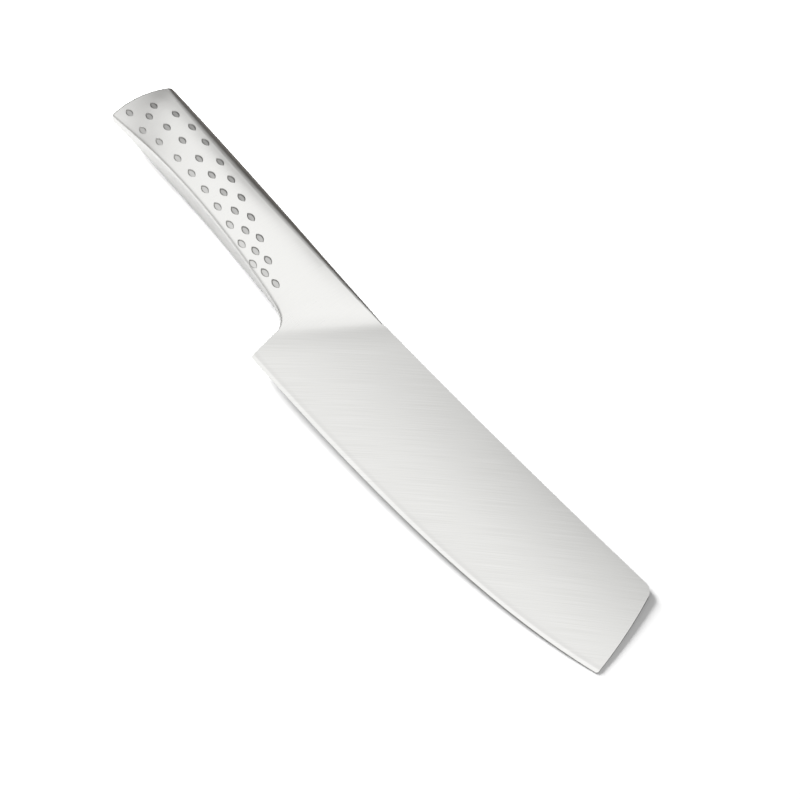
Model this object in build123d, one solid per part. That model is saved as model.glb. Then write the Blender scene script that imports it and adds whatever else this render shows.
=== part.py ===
from build123d import *
from math import cos, radians, sin, tan
import os

# The knife is drawn in side view, standing on its edge, from the heel corner of the edge:
# X runs to the tip, Y up to the spine and Z out of the left face.

# Blade
edge_length = 170.0
edge_sag = 6.0
edge_low_share = 0.54
edge_heel_angle = 5.5
edge_tip_angle = 12.0
tip_height = 35.6
tip_lean = 7.8
tip_bulge = 0.9
heel_lean = 1.0
spine_hollow = 0.7
spine_corner_radius = 4.5
tip_corner_radius = 1.0
heel_corner_radius = 1.2
spine_thickness = 2.3
face_edge_thickness = 0.5
bevel_angle = 10.0
cutting_land = 0.1
bevel_reach = 6.0

# Grip, measured along its own axis from the heel corner and square to that axis
grip_length = 115.0
grip_rise_angle = 6.5
grip_back_height = 45.3
grip_butt_height = 25.4
grip_arch = 2.5
belly_width = 12.2
back_width = 11.0
side_swell = 3.8
belly_shoulder = 1.5
back_shoulder = 4.6
shoulder_share = 0.8
butt_bulge_radius = 42.0
butt_apex_drop = 7.0
butt_edge_radius = 0.8

# Neck, where the forging leaves the hollow grip and thins down to the blade
neck_seam = 12.5
neck_height = 26.1
plunge_top = 19.0
plunge_bottom = 13.3
neck_belly_width = 3.4
neck_back_width = 6.2
neck_swell = 4.4
plunge_swell = 0.06

# Hollow grip and what it holds
wall = 1.2
fit_clearance = 0.05
register_length = 2.4
plate_thickness = 1.6
plate_step = 1.6
tang_length = 30.0
tang_height = 9.0
tang_thickness = 3.0
fill_hole = 3.0
plug_clearance = 0.02
ballast_clearance = 0.2

# Pressed lens-shaped pits: three rows on each side, which close up towards the neck
pit_length = 4.3
pit_width = 2.5
pit_depth = 0.6
pit_wall_angle = 32.0
pit_pitch = 8.75
pit_break = 1.85
pits_before_break = 7
pit_row_bend_shares = (1.6, 2.4)
# Each row: its count, then place along the grip and height over the belly at neck, crest and butt
pit_rows = (
    (9, (28.5, 1.7), (77.0, 4.9), (100.2, 3.5)),
    (10, (23.0, 3.4), (84.0, 11.0), (103.6, 9.1)),
    (11, (17.2, 4.4), (89.0, 17.6), (106.4, 13.6)),
)
# One more pit closes the pattern in the belly corner of the butt
last_pit = (110.4, 5.2)

# Stations of the grip: place from neck seam to butt, belly width, back width and swell of the sides
grip_station_shares = (
    (0.16, 0.64, 0.80, 1.04),
    (0.36, 0.94, 0.97, 1.08),
    (0.56, 1.00, 1.00, 1.05),
    (0.76, 0.80, 0.93, 1.00),
    (0.92, 0.45, 0.70, 0.88),
    (1.05, 0.26, 0.29, 0.70),
)
# Stations of the neck: place from seam to plunge, then what belly, back and swell have over the blade's
neck_station_shares = (
    (0.30, 0.80, 0.82, 0.82),
    (0.56, 0.60, 0.62, 0.68),
    (0.75, 0.38, 0.40, 0.48),
    (0.89, 0.12, 0.12, 0.16),
    (1.00, 0.00, 0.00, 0.00),
)

# One overrun for every cutting tool, and how many places are tried for where the grip touches the table
overrun = 10.0
rest_trials = 16

rise = radians(grip_rise_angle)
grip_way = Vector(-cos(rise), sin(rise))
grip_up = Vector(sin(rise), cos(rise))
out_of_side = Vector(0, 0, 1)


def grip_point(along, height):
    """Side-view point of the grip, from its place along the axis and its height over the heel corner."""
    return grip_way * along + grip_up * height


def mix(start, end, share):
    """Value or point that lies this share of the way from start to end."""
    return start + (end - start) * share


def crossing(start, way, other, other_way):
    """Point where two side-view lines cross."""
    gap = other - start
    turn = way.X * other_way.Y - way.Y * other_way.X
    return start + way * ((gap.X * other_way.Y - gap.Y * other_way.X) / turn)


seam_belly = grip_point(neck_seam, grip_back_height - neck_height)
seam_top = grip_point(neck_seam, grip_back_height)
butt_belly = grip_point(grip_length, grip_back_height - grip_butt_height)
plunge_foot = Vector(-heel_lean, plunge_bottom)
plunge_head = grip_point(-plunge_top, grip_back_height)
tip_corner = Vector(edge_length, 0)
spine_corner = Vector(edge_length - tip_lean, tip_height)


def belly_point(share):
    """Belly line from the neck seam (0) to the butt (1): a shallow arch that fits the fingers."""
    return mix(seam_belly, butt_belly, share) + grip_up * (4 * grip_arch * share * (1 - share))


def notch_point(share):
    """Finger notch from the neck seam (0) to the plunge (1), tangent to the belly and the heel."""
    belly_way = butt_belly - seam_belly + grip_up * (4 * grip_arch)
    corner = crossing(seam_belly, belly_way, plunge_foot, plunge_foot)
    return mix(mix(seam_belly, corner, share), mix(corner, plunge_foot, share), share)


def blade_width(height):
    """Thickness of the flat-ground blade at a height over the edge line."""
    share = (height + edge_sag) / (plunge_head.Y + edge_sag)
    return mix(face_edge_thickness, spine_thickness, share)


def stretch(low, peak, high, start, end):
    """Control points of a stretch of the parabola from low to high that is drawn out towards its peak."""

    def spot(first, second):
        return mix(mix(low, peak, first), mix(peak, high, first), second)

    return spot(start, start), spot(start, end), spot(end, end)


def section(bottom, top, belly, back, swell, inset):
    """Face across the grip: flat belly and back, rounded shoulders, and sides that swell between them."""
    way = (top - bottom).normalized()
    height = (top - bottom).length - 2 * inset
    belly_half = belly / 2 - inset
    back_half = back / 2 - inset
    lower_round = min(max(belly_shoulder - inset, belly_shoulder / 4), shoulder_share * belly_half)
    upper_round = min(max(back_shoulder - inset, back_shoulder / 4), shoulder_share * back_half)
    low, high = Vector(0, belly_half), Vector(height, back_half)
    peak = mix(low, high, 0.5) + Vector(0, swell)
    side = stretch(low, peak, high, lower_round / height, 1 - upper_round / height)
    across = Vector(0, 1)
    belly_corner = crossing(side[0], side[1] - side[0], low, across)
    back_corner = crossing(side[2], side[2] - side[1], high, across)
    belly_end, back_end = Vector(0, belly_half - lower_round), Vector(height, back_half - upper_round)
    left = [
        Bezier(belly_end, belly_corner, side[0]),
        Bezier(*side),
        Bezier(side[2], back_corner, back_end),
    ]
    right = [edge.mirror(Plane.XZ) for edge in left]
    belly_line = Line(right[0] @ 0, belly_end)
    back_line = Line(back_end, right[-1] @ 1)
    outline = Wire([belly_line, *left, back_line, *right[::-1]])
    return Plane(origin=bottom + way * inset, x_dir=way, z_dir=way.cross(out_of_side)) * Face(outline)


def seam_section(inset):
    """Section where the grip meets the neck."""
    return section(seam_belly, seam_top, neck_belly_width, neck_back_width, neck_swell, inset)


def grip_sections(inset):
    """Sections of the grip past the neck seam, to just beyond the butt."""
    faces = []
    for place, belly_share, back_share, swell_share in grip_station_shares:
        bottom = belly_point(place)
        top = grip_point(bottom.dot(grip_way), grip_back_height)
        widths = (belly_width * belly_share, back_width * back_share, side_swell * swell_share)
        faces.append(section(bottom, top, *widths, inset))
    return faces


def neck_sections():
    """Sections of the neck, which fan out from the seam to the slanted plunge line."""
    faces = []
    for place, belly_share, back_share, swell_share in neck_station_shares:
        belly = mix(blade_width(plunge_foot.Y), neck_belly_width, belly_share)
        back = mix(blade_width(plunge_head.Y), neck_back_width, back_share)
        swell = mix(plunge_swell, neck_swell, swell_share)
        faces.append(section(notch_point(place), mix(seam_top, plunge_head, place), belly, back, swell, 0))
    return faces


def across_grip(along):
    """Plane square to the grip at a place along it, facing the butt."""
    return Plane(origin=grip_point(along, 0), x_dir=out_of_side, z_dir=grip_way)


def beyond(form, along):
    """Part of a form on the butt side of a place along the grip."""
    return split(form, bisect_by=across_grip(along), keep=Keep.TOP)


def before(form, along):
    """Part of a form on the blade side of a place along the grip."""
    return split(form, bisect_by=across_grip(along), keep=Keep.BOTTOM)


def butt_waste(depth):
    """Everything behind the crowned butt, or behind its copy this much further in."""
    apex = grip_point(grip_length, grip_back_height - grip_butt_height / 2 - butt_apex_drop)
    with BuildSketch(Plane(origin=apex - grip_way * butt_bulge_radius, x_dir=grip_way)) as sketch:
        with Locations((butt_bulge_radius, 0)):
            Rectangle(2 * butt_bulge_radius, 4 * butt_bulge_radius)
        Circle(butt_bulge_radius - depth, mode=Mode.SUBTRACT)
    return extrude(sketch.sketch, belly_width + side_swell, both=True)


def edge_curve():
    """Cutting edge: a long gentle belly that rises faster towards the tip."""
    low = Vector(edge_length * edge_low_share, -edge_sag)
    heel_way = Vector(cos(radians(edge_heel_angle)), -sin(radians(edge_heel_angle)))
    tip_way = Vector(cos(radians(edge_tip_angle)), sin(radians(edge_tip_angle)))
    return Spline((0, 0), low, tip_corner, tangents=(heel_way, tip_way))


def blade_slab():
    """Blade outline from the plunge to the tip, ground flat from spine to edge."""
    spine_middle = mix(plunge_head, spine_corner, 0.5) - Vector(0, spine_hollow)
    front_way = (spine_corner - tip_corner).normalized()
    front_middle = mix(spine_corner, tip_corner, 0.5) + front_way.cross(out_of_side) * tip_bulge
    with BuildSketch() as sketch:
        with BuildLine():
            edge_curve()
            ThreePointArc(tip_corner, front_middle, spine_corner)
            ThreePointArc(spine_corner, spine_middle, plunge_head)
            Polyline(plunge_head, plunge_foot, (0, 0))
        make_face()
        fillet(sketch.vertices().sort_by_distance(spine_corner)[0], spine_corner_radius)
        fillet(sketch.vertices().sort_by_distance(tip_corner)[0], tip_corner_radius)
        fillet(sketch.vertices().sort_by_distance((0, 0))[0], heel_corner_radius)
    slab = extrude(sketch.sketch, spine_thickness, both=True)
    low = -edge_sag - overrun
    high = plunge_head.Y + overrun
    with BuildSketch(Plane.YZ.offset(-overrun)) as wedge:
        with BuildLine():
            Polyline(
                (low, -blade_width(low) / 2),
                (high, -blade_width(high) / 2),
                (high, blade_width(high) / 2),
                (low, blade_width(low) / 2),
                close=True,
            )
        make_face()
    return slab & extrude(wedge.sketch, edge_length + 2 * overrun)


def bevel_waste():
    """What grinding takes off the left face along the edge."""
    curve = edge_curve()
    heel_run = Line(curve @ 0 - (curve % 0) * overrun, curve @ 0)
    tip_run = Line(curve @ 1, curve @ 1 + (curve % 1) * overrun)
    path = Wire([heel_run, curve, tip_run])
    inward = out_of_side.cross(curve % 0)
    slope = tan(radians(bevel_angle))
    with BuildSketch(Plane(origin=path @ 0, x_dir=inward, z_dir=curve % 0)) as sketch:
        with BuildLine():
            Polyline(
                (-bevel_reach, cutting_land / 2 - bevel_reach * slope),
                (bevel_reach, cutting_land / 2 + bevel_reach * slope),
                (bevel_reach, spine_thickness),
                (-bevel_reach, spine_thickness),
                close=True,
            )
        make_face()
    return sweep(sketch.sketch, path=path)


def pit_tool():
    """Lens-shaped pit: the overlap of two wide cones, whose walls slope up to the rim and on past it."""
    rim_radius = (pit_length**2 + pit_width**2) / (4 * pit_width)
    slope = pit_depth * tan(radians(pit_wall_angle))
    cone = Cone(rim_radius - slope, rim_radius + slope, 2 * pit_depth)
    shift = rim_radius - pit_width / 2
    return Pos(0, shift) * cone & Pos(0, -shift) * cone


def pit_point(along, height):
    """Side-view point at a place along the grip and a height over its belly."""
    return belly_point((along - neck_seam) / (grip_length - neck_seam)) + grip_up * height


def pit_points():
    """Side-view points of the pits of all rows."""
    points = [pit_point(*last_pit)]
    for count, neck, crest, butt in pit_rows:
        for number in range(count):
            along = neck[0] + pit_pitch * number + (pit_break if number >= pits_before_break else 0)
            towards_butt = along > crest[0]
            end = butt if towards_butt else neck
            away = (along - crest[0]) / (end[0] - crest[0])
            height = mix(crest[1], end[1], away ** pit_row_bend_shares[towards_butt])
            points.append(pit_point(along, height))
    return points


def pit_planes(form):
    """Planes square to the left side of the grip, one at each pit."""
    planes = []
    for point in pit_points():
        hits = form.find_intersection_points(Axis(point, out_of_side))
        place, normal = max(hits, key=lambda hit: hit[0].Z)
        planes.append(Plane(origin=place, x_dir=grip_way, z_dir=normal))
    return planes


def make_blade(form, core):
    """Blade, neck, stepped register and stub tang, forged as one."""
    waste = bevel_waste()
    blade = blade_slab() - waste - mirror(waste, Plane.XY)
    neck = before(form, neck_seam)
    register = before(core, neck_seam + register_length)
    tang_root = grip_point(neck_seam, grip_back_height - neck_height / 2)
    with BuildSketch(Plane(origin=tang_root, x_dir=grip_way)) as sketch:
        SlotOverall(2 * tang_length, tang_height)
    tang = beyond(extrude(sketch.sketch, tang_thickness / 2, both=True), neck_seam)
    return blade + neck + register + tang


def make_left_shell(form, hollow):
    """Left half of the pressed grip, with its pits."""
    pits = [plane * pit_tool() for plane in pit_planes(form)]
    half = split(beyond(form, neck_seam) - butt_waste(plate_thickness), bisect_by=Plane.XY, keep=Keep.TOP)
    return half - hollow - pits


def fill_bore(form, radius):
    """What a round bore on the grip's axis takes out of the butt."""
    centre = grip_point(grip_length, grip_back_height - grip_butt_height / 2)
    with BuildSketch(Plane(origin=centre, x_dir=out_of_side, z_dir=grip_way)) as sketch:
        Circle(radius)
    return form & extrude(sketch.sketch, overrun, both=True)


def make_butt_plate(form, core):
    """Crowned plate that closes the butt, with a step that fits inside the shells and a bore for filling."""
    rim = form & butt_waste(plate_thickness)
    step = (core & butt_waste(plate_thickness + plate_step)) - butt_waste(plate_thickness)
    plate = rim + step - fill_bore(form, fill_hole / 2)
    crown = plate.faces().filter_by(GeomType.CYLINDER).sort_by(Axis((0, 0, 0), grip_way))[-1]
    return fillet(crown.outer_wire().edges(), butt_edge_radius)


def make_fill_plug(form):
    """Plug that seals the filling bore, flush with the crowned butt."""
    return fill_bore(form & butt_waste(plate_thickness + plate_step), fill_hole / 2 - plug_clearance)


def make_ballast():
    """Sand packed between the end of the tang and the butt plate."""
    space = loft(grip_sections(wall + ballast_clearance))
    past_tang = beyond(space, neck_seam + tang_length + ballast_clearance)
    return past_tang - butt_waste(plate_thickness + plate_step + ballast_clearance)


def lowest_plane(form):
    """Plane the knife lies on: it touches the blade's front edge and the fullest part of the right side."""
    low = Vector(tip_corner.X, tip_corner.Y, -blade_width(tip_corner.Y) / 2)
    high = Vector(spine_corner.X, spine_corner.Y, -blade_width(spine_corner.Y) / 2)
    planes = []
    for number in range(1, rest_trials):
        place = number / rest_trials
        bottom = belly_point(place)
        top = grip_point(bottom.dot(grip_way), grip_back_height)
        hits = form.find_intersection_points(Axis(mix(bottom, top, 0.5), out_of_side))
        swell = min((point for point, normal in hits), key=lambda point: point.Z)
        normal = (high - low).cross(swell - low).normalized()
        forward = Vector(1, 0, 0) - normal * normal.X
        planes.append(Plane(origin=low, x_dir=forward, z_dir=normal))
    return min(planes, key=lambda plane: plane.z_dir.Z)


def build_knife():
    """Every piece of the knife, standing in side view."""
    outer = loft([*neck_sections()[::-1], seam_section(0), *grip_sections(0)]) - butt_waste(0)
    core = loft([seam_section(wall + fit_clearance), *grip_sections(wall + fit_clearance)])
    hollow = loft([seam_section(wall), *grip_sections(wall)])
    left_shell = make_left_shell(outer, hollow)
    pieces = {
        "blade": make_blade(outer, core),
        "left_handle_shell": left_shell,
        "right_handle_shell": mirror(left_shell, Plane.XY),
        "butt_plate": make_butt_plate(outer, core),
        "fill_plug": make_fill_plug(outer),
        "sand_ballast": make_ballast(),
    }
    return pieces, lowest_plane(outer)


def lay_down(pieces, floor):
    """The pieces lying on their right side, with the middle of their box over the origin."""
    laid = {name: floor.to_local_coords(piece) for name, piece in pieces.items()}
    boxes = [piece.bounding_box() for piece in laid.values()]
    left, right = min(box.min.X for box in boxes), max(box.max.X for box in boxes)
    front, rear = min(box.min.Y for box in boxes), max(box.max.Y for box in boxes)
    onto_floor = Location((-mix(left, right, 0.5), -mix(front, rear, 0.5), -min(box.min.Z for box in boxes)))
    return {name: onto_floor * piece for name, piece in laid.items()}


if __name__ == "__main__":
    os.makedirs("parts", exist_ok=True)
    for name, piece in lay_down(*build_knife()).items():
        piece.label = name
        export_step(piece, f"parts/{name}.step")
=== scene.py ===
from math import cos, radians, sin

import bpy
from mathutils import Matrix, Vector

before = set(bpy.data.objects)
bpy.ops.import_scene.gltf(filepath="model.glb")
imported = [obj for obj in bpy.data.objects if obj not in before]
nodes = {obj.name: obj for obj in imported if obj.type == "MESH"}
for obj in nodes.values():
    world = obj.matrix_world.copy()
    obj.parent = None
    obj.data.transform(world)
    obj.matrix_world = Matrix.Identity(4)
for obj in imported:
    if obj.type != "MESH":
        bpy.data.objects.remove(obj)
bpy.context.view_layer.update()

# Lengths are in metres, or in millimetres where a comment says so, and angles are in degrees. A pair of
# places on one scale gives where a tone is none and where it is full.

# Side view of the knife in the frame: its heel corner, the way along the edge, and the way up to the spine
heel = Vector((-0.029102, -0.025682, 0.005748))
to_front = Vector((0.999503, 0.0, -0.031519))
to_spine = Vector((0.000363, 0.999934, 0.011505))

# Edge: its length, and the three terms of how far it hangs below the straight line between its ends
edge_length = 0.170
edge_sag = (-0.01637, -0.00813, -0.01164)

# Heights over the edge of the end of the bevel's painted highlight and of the start and end of the painted
# shade on the shoulder above it
bevel_end = (0.0015, 0.0011)
shoulder_start = (0.0013, 0.0017)
shoulder_end = (0.0034, 0.0020)

# Plunge line, where the neck runs out into the flat grind: its ends in the side view, and how far past it
# the finish of the blade sets in and the run-out's painted shade starts and ends
plunge_foot = (-0.001, 0.0133)
plunge_head = (0.0240, 0.0430)
blade_start = (-0.002, 0.003)
run_out_start = (-0.006, 0.001)
run_out_end = (0.012, 0.001)

# Where painted shade grows on the blade up to the spine and along to the front end, and where more painted
# shade grows in the corner between them
spine_shade_up = (0.0, 0.046)
spine_shade_along = (0.0, 0.14)
corner_up = (0.030, 0.048)
corner_along = (0.03, 0.13)

# Painted shade is the share of its colour that the steel loses: along the spine at the heel and at the
# front end, in their corner, in the run-out and on the shoulder. The whole blade is a little darker than
# the neck, and the bevel gains a painted highlight.
blade_dullness = 0.06
spine_painted_shade = (0.15, 0.27)
corner_painted_shade = 0.10
run_out_painted_shade = 0.07
shoulder_painted_shade = 0.05
bevel_painted_highlight = 0.11

# Lines of the belt on the blade: their angle up from the edge, and the radius of their wide arcs
belt_angle = 45.0
arc_radius = 0.9

# Lines of the finish: how many lie side by side on a metre and how many end to end, and the depth in the
# noise that they are cut from
fine_belt = (4000.0, 40.0, 0.0)
wide_belt = (1500.0, 14.0, 3.0)
soft_satin = (3000.0, 90.0, 7.0)
fine_share = 0.84
soft_share = 0.75
grain_scale = 1500.0
cloud_scale = 38.0
noise_middle = 0.5

# Steel on the grip and on the blade: how much the lines show in its tone, how rough it is, how much the
# lines change that, and how much relief they have
line_contrast = (0.16, 0.60)
plain_roughness = (0.28, 0.35)
line_roughness = (0.02, 0.12)
line_relief = (0.015, 1.0)

# Steel everywhere: how much faint clouds show in its tone and in its roughness, how much rougher the pits
# are, and its darkest and brightest colours
cloud_contrast = 0.05
cloud_roughness = 0.04
pit_roughness = 0.3
dark_steel = (0.65, 0.648, 0.628, 1.0)
bright_steel = (0.912, 0.91, 0.898, 1.0)

# Grip in millimetres from the heel corner: its angle up from the edge, its length, where the neck meets it,
# the heights of its belly there and at the butt, and how high the belly is arched between them
millimetres_in_metre = 1000.0
grip_rise_angle = 6.5
grip_length = 115.0
neck_seam = 12.5
seam_belly_height = 19.2
butt_belly_height = 19.9
grip_arch = 2.5

# Pits, in millimetres down the grip from the heel corner and over the belly line. Each row has its count,
# its neck end, its crest, its butt end, and how much painted shade its pits get. The bends are the powers
# by which it falls from the crest to its two ends.
pit_rows = (
    (9, (28.5, 1.7), (77.0, 4.9), (100.2, 3.5), 0.26),
    (10, (23.0, 3.4), (84.0, 11.0), (103.6, 9.1), 0.42),
    (11, (17.2, 4.4), (89.0, 17.6), (106.4, 13.6), 0.50),
)
neck_bend = 1.6
butt_bend = 2.4
pit_pitch = 8.75
pits_before_break = 7
pit_break = 1.85
last_pit = (110.4, 5.2)
last_pit_painted_shade = 0.34

# Form of a pit in millimetres: the lens in which two circles overlap. The painted shade sets in across its
# rim, and grows from its floor up its belly wall and its spine wall.
pit_length = 4.3
pit_width = 2.5
rim_radius = (pit_length**2 + pit_width**2) / (4.0 * pit_width)
rim_shift = rim_radius - 0.5 * pit_width
rim_blend = (0.02, -0.22)
belly_wall = (-0.2, -0.9)
spine_wall = (0.6, 1.0)
floor_painted_shade = 0.95
belly_wall_painted_shade = 0.45
spine_wall_painted_shade = 0.2

# Stretch down the grip on which the painted shade in the pits gets stronger, in millimetres, and its
# strength at the two ends
pit_fade = (15.0, 60.0, 0.6, 1.0)

# Sand: its grain, and its darkest and palest colours
sand_scale = 2600.0
sand_spread = (0.35, 0.65)
dark_sand = (0.36, 0.27, 0.16, 1.0)
pale_sand = (0.80, 0.71, 0.54, 1.0)

# Table: half its size, its tone to the camera, and the grey that the steel mirrors before the knife, which
# turns near black behind the spine as painted shade. To the camera it glows a little by the knife and most
# far out.
table_half = 1.2
paper_tone = (0.5, 0.5, 0.5, 1.0)
near_grey = (0.30, 0.30, 0.30, 1.0)
behind_spine_painted_shade = (0.05, 0.047, 0.044, 1.0)
grey_change = (0.016, 0.032)
glow_change = (0.2, 0.6)
near_glow = 0.05
far_glow = 0.95
black = (0.0, 0.0, 0.0, 1.0)
white = (1.0, 1.0, 1.0, 1.0)

# Room that the steel mirrors: the way to its bright ceiling, and for each darker side its way, where it
# starts and is full, and how much of the light it takes
overhead = (-0.05, -0.3, 0.95)
ceiling = (-0.12, 0.35)
dark_sides = (
    ((-0.3, -0.93, 0.2), 0.5, 0.9, 0.2),
    ((-1.0, 0.0, 0.0), 0.52, 0.8, 0.75),
    ((-0.35, 0.85, 0.4), 0.92, 1.0, 0.6),
)
dark_air = (0.05, 0.045, 0.04, 1.0)
bright_air = (0.85, 0.85, 0.85, 1.0)

# Camera of the photograph: its place, its turn round the vertical, its angle over the table, its roll, and
# its lens and sensor in millimetres
camera_place = (0.34227, -0.3106, 0.7867)
camera_turn = 45.99
camera_angle = 60.24
camera_roll = -0.78
camera_lens = 114.4
camera_sensor = 36.0


class Value:
    """A number that varies over a surface. Each operator adds the Math node that does it."""

    def __init__(self, finish, socket):
        self.finish = finish
        self.socket = socket

    def math(self, operation, *others):
        return self.finish.add("ShaderNodeMath", {"operation": operation}, dict(enumerate((self, *others))))

    def __add__(self, other):
        return self.math("ADD", other)

    def __sub__(self, other):
        return self.math("SUBTRACT", other)

    def __rsub__(self, other):
        return self.finish.add("ShaderNodeMath", {"operation": "SUBTRACT"}, {0: other, 1: self})

    def __mul__(self, other):
        return self.math("MULTIPLY", other)

    def __pow__(self, other):
        return self.math("POWER", other)

    __radd__ = __add__
    __rmul__ = __mul__

    def ramp(self, low, high, start=0.0, end=1.0):
        """Smooth step: start where the value is at low, end where it is at high, level outside them."""
        limits = {"From Min": low, "From Max": high, "To Min": start, "To Max": end, "Value": self}
        return self.finish.add("ShaderNodeMapRange", {"interpolation_type": "SMOOTHSTEP"}, limits)

    def between(self, first, second):
        """Number that goes from the first to the second as this value goes from 0 to 1."""
        return self * (second - first) + first


class Finish:
    """A node tree under construction: of a material, or of the world."""

    def __init__(self, tree):
        self.tree = tree
        self.tree.nodes.clear()

    def add(self, kind, settings=None, inputs=None, output=0):
        """One node: its settings first, then its sockets' values or links. Gives back one output."""
        node = self.tree.nodes.new(kind)
        for name, setting in (settings or {}).items():
            setattr(node, name, setting)
        for name, given in (inputs or {}).items():
            if isinstance(given, Value):
                self.tree.links.new(given.socket, node.inputs[name])
            else:
                node.inputs[name].default_value = given
        return Value(self, node.outputs[output]) if node.outputs else None

    def vector(self, operation, inputs, output="Vector"):
        """Vector Math node: a vector, or with the output Value a number."""
        return self.add("ShaderNodeVectorMath", {"operation": operation}, inputs, output)

    def dot(self, way, direction):
        """How far a vector reaches in a direction: the dot product of the two."""
        return self.vector("DOT_PRODUCT", {0: way, 1: direction}, "Value")

    def mix(self, share, first, second):
        """Colour that goes from the first to the second with a share. 6, 7 and 2 are the colour sockets."""
        sockets = {"Factor": share, 6: first, 7: second}
        return self.add("ShaderNodeMix", {"data_type": "RGBA"}, sockets, 2)

    def noise(self, place, scale, detail=2.0):
        """Grey cloud over a place, about 0.5 on average."""
        return self.add("ShaderNodeTexNoise", {}, {"Vector": place, "Scale": scale, "Detail": detail})

    def place(self):
        """Place on the piece, in the frame."""
        return self.add("ShaderNodeTexCoord", output="Object")

    def seen(self):
        """1 for the camera's own rays, and 0 for what the steel mirrors and for light."""
        return self.add("ShaderNodeLightPath", output="Is Camera Ray")

    def close(self, shader):
        """The shader becomes the material's surface."""
        self.add("ShaderNodeOutputMaterial", {}, {"Surface": shader})


def material(name):
    """An empty material and its node tree."""
    made = bpy.data.materials.new(name)
    made.use_nodes = True
    return made, Finish(made.node_tree)


def dress(node, made):
    """The CAD node wears this material."""
    mesh = nodes[node].data
    mesh.materials.clear()
    mesh.materials.append(made)


def side_view(finish, place):
    """Place in the side view: how far along the edge from the heel corner, and how high over it."""
    from_heel = finish.vector("SUBTRACT", {0: place, 1: heel})
    return finish.dot(from_heel, to_front), finish.dot(from_heel, to_spine)


def grip_view(along, high):
    """The same place by the grip: how far down the grip from the heel corner, and how far up across it."""
    rise = radians(grip_rise_angle)
    return high * sin(rise) - along * cos(rise), high * cos(rise) + along * sin(rise)


def past_plunge(along, high):
    """Distance from the plunge line, positive on the blade's side of it."""
    run_along = plunge_head[0] - plunge_foot[0]
    run_up = plunge_head[1] - plunge_foot[1]
    size = (run_along**2 + run_up**2) ** 0.5
    return (along - plunge_foot[0]) * (run_up / size) - (high - plunge_foot[1]) * (run_along / size)


def over_edge(along, high):
    """Height over the edge line, which is run * (1 - run) times a curve of the second degree in run."""
    run = along * (1.0 / edge_length)
    sag = run * run * edge_sag[2] + run * edge_sag[1] + edge_sag[0]
    return high - run * (1.0 - run) * sag


def belly_line(down):
    """Height of the grip's belly over the heel corner: a straight rise and a parabola's arch over it."""
    share = (down - neck_seam) * (1.0 / (grip_length - neck_seam))
    rise = share * (butt_belly_height - seam_belly_height)
    return rise + share * (1.0 - share) * (4.0 * grip_arch) + seam_belly_height


def streaks(finish, across, along, side_by_side, end_to_end, depth):
    """Scratches: a cloud squeezed across the lines and drawn out along them."""
    sockets = {"X": across * side_by_side, "Y": along * end_to_end, "Z": depth}
    return finish.noise(finish.add("ShaderNodeCombineXYZ", {}, sockets), scale=1.0, detail=3.0)


def belt_lines(finish, along, high):
    """Ground lines of the blade on wide arcs round a far centre, so across is the distance from an arc."""
    turn = radians(belt_angle)
    down_line = along * cos(turn) + high * sin(turn)
    off_line = high * cos(turn) - along * sin(turn)
    across = off_line + down_line * down_line * (0.5 / arc_radius)
    fine = streaks(finish, across, down_line, *fine_belt)
    wide = streaks(finish, across, down_line, *wide_belt)
    return fine * fine_share + wide * (1.0 - fine_share)


def satin_lines(finish, place, down, up):
    """Satin of the grip: soft lines across it, almost worn away, and a fine grain."""
    soft = streaks(finish, down, up, *soft_satin)
    grain = finish.noise(place, grain_scale)
    return soft * soft_share + grain * (1.0 - soft_share)


def painted_blade_shading(along, high, past, on_blade):
    """Painted light on the blade: a painted highlight on its bevel, and painted shade on the shoulder, in
    the run-out and towards the spine, over the whole blade's own slightly darker tone.
    """
    from_edge = over_edge(along, high)
    bevel = from_edge.ramp(*bevel_end)
    shoulder = from_edge.ramp(*shoulder_start) * from_edge.ramp(*shoulder_end)
    # Painted shade towards the spine, and more in the corner by the front end
    by_spine = high.ramp(*spine_shade_up) * along.ramp(*spine_shade_along).between(*spine_painted_shade)
    by_corner = high.ramp(*corner_up) * along.ramp(*corner_along) * corner_painted_shade
    # Painted highlight on the bevel and painted shade on its shoulder
    by_edge = shoulder * shoulder_painted_shade - bevel * bevel_painted_highlight
    flat = by_spine + by_corner + by_edge + blade_dullness
    # Painted shade in the run-out past the plunge line
    run_out = past.ramp(*run_out_start) * past.ramp(*run_out_end)
    return on_blade * flat + run_out * run_out_painted_shade


def pit(down, up, centre, height):
    """Painted shade of one pit: none outside its lens, and inside it most along its two walls, above all
    the belly wall.
    """
    above = up - belly_line(centre) - height
    off = above.math("ABSOLUTE") + rim_shift
    away = down - centre
    inside = ((away * away + off * off) ** 0.5 - rim_radius).ramp(*rim_blend)
    walls = above.ramp(*belly_wall) * belly_wall_painted_shade + above.ramp(*spine_wall) * spine_wall_painted_shade
    return inside * (walls + floor_painted_shade)


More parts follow.
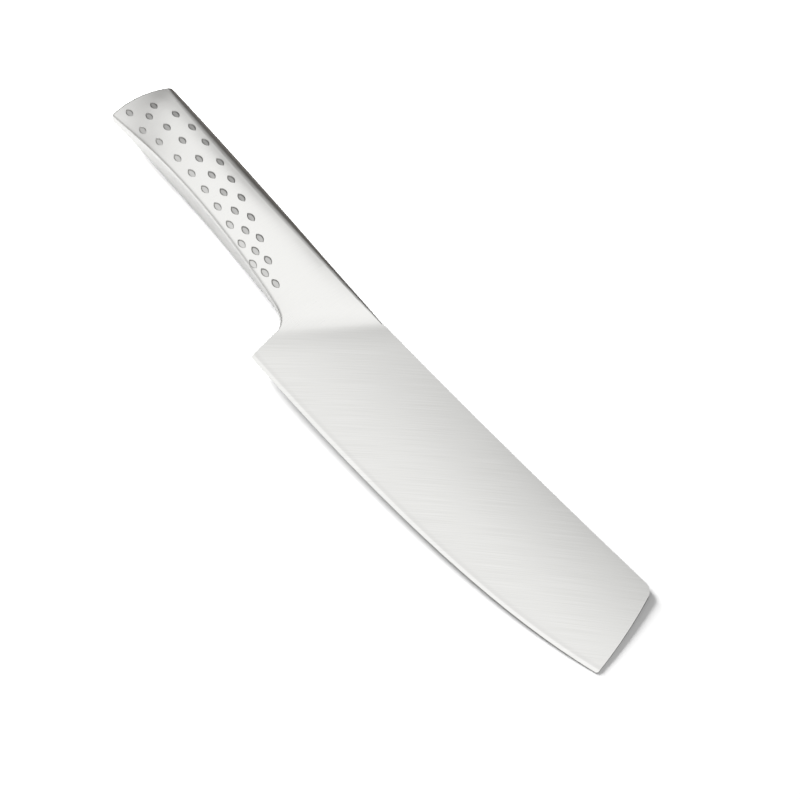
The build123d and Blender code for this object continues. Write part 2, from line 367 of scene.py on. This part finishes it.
def painted_pit_shade(down, up):
    """Painted shade in the pits, strongest in the rows nearer the spine. The same mask makes them rougher,
    where no wheel reaches. A row climbs from the neck to its crest and sinks.

    Its pits stand a pitch apart, with one wider break. A place is tested with the pit in whose stretch of
    the row it lies.
    """
    down = down * millimetres_in_metre
    up = up * millimetres_in_metre
    painted_shading = 0.0
    for count, neck, crest, butt, row_painted_shade in pit_rows:
        number = ((down - neck[0]) * (1.0 / pit_pitch)).math("ROUND")
        number = number.math("MAXIMUM", 0.0).math("MINIMUM", count - 1.0)
        past_break = number.math("GREATER_THAN", pits_before_break - 0.5)
        centre = number * pit_pitch + past_break * pit_break + neck[0]
        to_neck = ((crest[0] - centre) * (1.0 / (crest[0] - neck[0]))).math("MAXIMUM", 0.0) ** neck_bend
        to_butt = ((centre - crest[0]) * (1.0 / (butt[0] - crest[0]))).math("MAXIMUM", 0.0) ** butt_bend
        height = to_neck * (neck[1] - crest[1]) + to_butt * (butt[1] - crest[1]) + crest[1]
        # Painted shade of each pit in the row
        painted_shading = pit(down, up, centre, height) * row_painted_shade + painted_shading
    painted_shading = pit(down, up, *last_pit) * last_pit_painted_shade + painted_shading
    return painted_shading * down.ramp(*pit_fade)


def steel(name):
    """Stainless steel: belt-ground in wide arcs on the blade, and fine satin on the grip and the neck.
    Painted shade and a painted highlight are scaled into its colour.
    """
    made, finish = material(name)
    place = finish.place()
    along, high = side_view(finish, place)
    down, up = grip_view(along, high)
    past = past_plunge(along, high)
    on_blade = past.ramp(*blade_start)

    belt = belt_lines(finish, along, high)
    satin = satin_lines(finish, place, down, up)
    lines = on_blade * belt + (1.0 - on_blade) * satin
    clouds = finish.noise(place, cloud_scale, detail=3.0) - noise_middle
    pits = painted_pit_shade(down, up)
    painted_shading = painted_blade_shading(along, high, past, on_blade) + pits

    swing = lines - noise_middle
    tone = swing * on_blade.between(*line_contrast) + clouds * cloud_contrast + noise_middle
    colour = finish.mix(tone.ramp(0.0, 1.0), dark_steel, bright_steel)
    # The colour is darkened by painted shade and lightened by the bevel's painted highlight
    colour = finish.vector("SCALE", {0: colour, "Scale": 1.0 - painted_shading})
    roughness = on_blade.between(*plain_roughness) + swing * on_blade.between(*line_roughness)
    roughness = roughness + clouds * cloud_roughness + pits * pit_roughness
    relief = lines * on_blade.between(*line_relief)
    bump = finish.add("ShaderNodeBump", {}, {"Strength": 0.5, "Distance": 0.00002, "Height": relief})
    sockets = {"Base Color": colour, "Metallic": 1.0, "Roughness": roughness, "Normal": bump}
    finish.close(finish.add("ShaderNodeBsdfPrincipled", {}, sockets))
    return made


def sand(name):
    """Dry sand: pale grains among darker ones."""
    made, finish = material(name)
    grains = finish.noise(finish.place(), sand_scale)
    colour = finish.mix(grains.ramp(*sand_spread), dark_sand, pale_sand)
    bump = finish.add("ShaderNodeBump", {}, {"Strength": 0.8, "Distance": 0.0003, "Height": grains})
    sockets = {"Base Color": colour, "Roughness": 0.95, "Normal": bump}
    finish.close(finish.add("ShaderNodeBsdfPrincipled", {}, sockets))
    return made


def table():
    """Plain table top, white to the camera. What the steel mirrors of it is grey, with painted shade near
    black behind the spine.
    """
    sides = ((-1.0, -1.0), (1.0, -1.0), (1.0, 1.0), (-1.0, 1.0))
    corners = [(side * table_half, end * table_half, 0.0) for side, end in sides]
    mesh = bpy.data.meshes.new("table")
    mesh.from_pydata(corners, [], [(0, 1, 2, 3)])
    top = bpy.data.objects.new("table", mesh)
    bpy.context.scene.collection.objects.link(top)

    made, finish = material("white table")
    seen = finish.seen()
    place = finish.place()
    behind = finish.dot(place, (0.0, 1.0, 0.0))
    # Painted shade: the table the steel mirrors turns near black behind the spine
    mirrored = finish.mix(behind.ramp(*grey_change), near_grey, behind_spine_painted_shade)
    paper = finish.add("ShaderNodeBsdfDiffuse", {}, {"Color": finish.mix(seen, mirrored, paper_tone)})
    far_out = finish.vector("LENGTH", {0: place}, "Value")
    glow_share = seen * far_out.ramp(*glow_change).between(near_glow, far_glow)
    shine = finish.mix(glow_share, black, white)
    glow = finish.add("ShaderNodeEmission", {}, {"Color": shine, "Strength": 1.0})
    finish.close(finish.add("ShaderNodeAddShader", {}, {0: paper, 1: glow}))
    mesh.materials.append(made)


def studio():
    """Room that the steel mirrors, bright overhead and dark round the horizon. The camera sees it white."""
    world = bpy.data.worlds.new("studio")
    bpy.context.scene.world = world
    world.use_nodes = True
    finish = Finish(world.node_tree)
    way = finish.add("ShaderNodeTexCoord", output="Generated")
    share = finish.dot(way, overhead).ramp(*ceiling)
    for side, start, full, taken in dark_sides:
        share = share * (1.0 - finish.dot(way, side).ramp(start, full) * taken)
    air = finish.mix(finish.seen(), finish.mix(share, dark_air, bright_air), white)
    light = finish.add("ShaderNodeBackground", {}, {"Color": air, "Strength": 1.0})
    finish.add("ShaderNodeOutputWorld", {}, {"Surface": light})


def softbox(name, place, aim, size, power, mirrored):
    """Soft lamp that looks at a point. It is mirrored in the steel, or else it lights the table."""
    lamp = bpy.data.lights.new(name, "AREA")
    lamp.shape = "RECTANGLE"
    lamp.size, lamp.size_y = size
    lamp.energy = power
    held = bpy.data.objects.new(name, lamp)
    held.location = place
    held.visible_camera = False
    held.visible_glossy = mirrored
    held.visible_diffuse = not mirrored
    held.rotation_euler = (Vector(aim) - Vector(place)).to_track_quat("-Z", "Y").to_euler()
    bpy.context.scene.collection.objects.link(held)


def camera():
    """The photograph's camera: over the edge and the front end, looking down at the left face."""
    view = bpy.data.cameras.new("camera")
    view.sensor_width = camera_sensor
    view.lens = camera_lens
    held = bpy.data.objects.new("camera", view)
    turn = Matrix.Rotation(radians(camera_turn), 4, "Z")
    tilt = Matrix.Rotation(radians(90.0 - camera_angle), 4, "X")
    roll = Matrix.Rotation(radians(camera_roll), 4, "Z")
    held.matrix_world = Matrix.Translation(camera_place) @ turn @ tilt @ roll
    bpy.context.scene.collection.objects.link(held)
    bpy.context.scene.camera = held


knife_steel = steel("brushed stainless steel")
for node in ("blade", "left_handle_shell", "right_handle_shell", "butt_plate", "fill_plug"):
    dress(node, knife_steel)
dress("sand_ballast", sand("dry sand"))

table()
studio()
softbox(
    "strip softbox",
    place=(-0.05, -0.03, 0.34),
    aim=(-0.05, -0.0299, 0.0),
    size=(1.2, 0.6),
    power=0.72,
    mirrored=True,
)
softbox(
    "key softbox",
    place=(-0.80, 0.05, 0.38),
    aim=(0.0, 0.0, 0.0),
    size=(0.45, 0.45),
    power=42.0,
    mirrored=False,
)
camera()
bpy.context.scene.view_settings.view_transform = "Standard"
